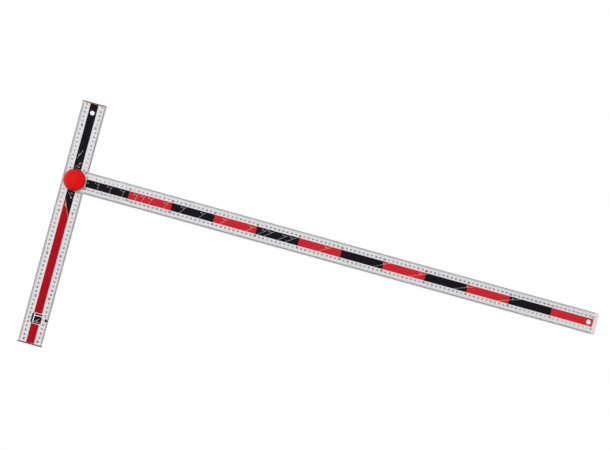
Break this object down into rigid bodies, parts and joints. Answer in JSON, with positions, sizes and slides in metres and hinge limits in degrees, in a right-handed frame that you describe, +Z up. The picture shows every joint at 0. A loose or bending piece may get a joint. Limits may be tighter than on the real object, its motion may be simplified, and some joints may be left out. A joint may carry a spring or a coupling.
{
  "type": "t square",
  "caption": "Hollow aluminium head and long graduated blade that swings flat over it about one bolt, clamped at any angle by a captive knob.",
  "frame": {"origin": "on the pivot axis, in the plane of the head's underside", "axes": "+X out along the blade at rest, +Y up the short arm of the head, +Z up through the knob"},
  "size_m": [1.2646, 0.5648, 0.0364],
  "materials": {
    "anodised_aluminium": "satin anodised, fine lines along the bar",
    "dark_red_plastic": "moulded, satin",
    "red_plastic": "moulded, semi-gloss",
    "milky_plastic": "moulded, translucent milky",
    "zinc_plated_steel": "zinc plated",
    "brass": "turned",
    "black_fibre": "pressed fibre",
    "black_ink": "printed band, numbers and lines",
    "red_ink": "printed band and marks",
    "white_ink": "printed fine lines and small numbers"
  },
  "bodies": {
    "head": {"head_rail": "anodised_aluminium", "head_upper_cap": "dark_red_plastic", "head_lower_cap": "dark_red_plastic", "pivot_block": "zinc_plated_steel", "pivot_bolt": "zinc_plated_steel", "bolt_clip": "zinc_plated_steel", "friction_disc": "black_fibre"},
    "blade": {"blade_rail": "anodised_aluminium", "blade_end_cap": "milky_plastic", "blade_root_cap": "milky_plastic", "blade_bush": "zinc_plated_steel"},
    "washer": {"pressure_washer": "zinc_plated_steel"},
    "knob": {"lock_knob": "red_plastic", "knob_insert": "brass", "knob_cover": "red_plastic"}
  },
  "joints": [
    {"name": "blade_swing", "type": "hinge", "parent": "head", "child": "blade", "pos_m": [0, 0, 0.0112], "axis": [0, 0, 1], "continuous": true},
    {"name": "knob_rise", "type": "slide", "parent": "head", "child": "washer", "axis": [0, 0, 1], "range_m": [0, 0.00125]},
    {"name": "knob_turn", "type": "hinge", "parent": "washer", "child": "knob", "pos_m": [0, 0, 0.0194], "axis": [0, 0, 1], "range_deg": [0, 360]}
  ],
  "couplings": [
    {"joint": "knob_rise", "follows": "knob_turn", "m_per_rad": 0.0001989}
  ]
}
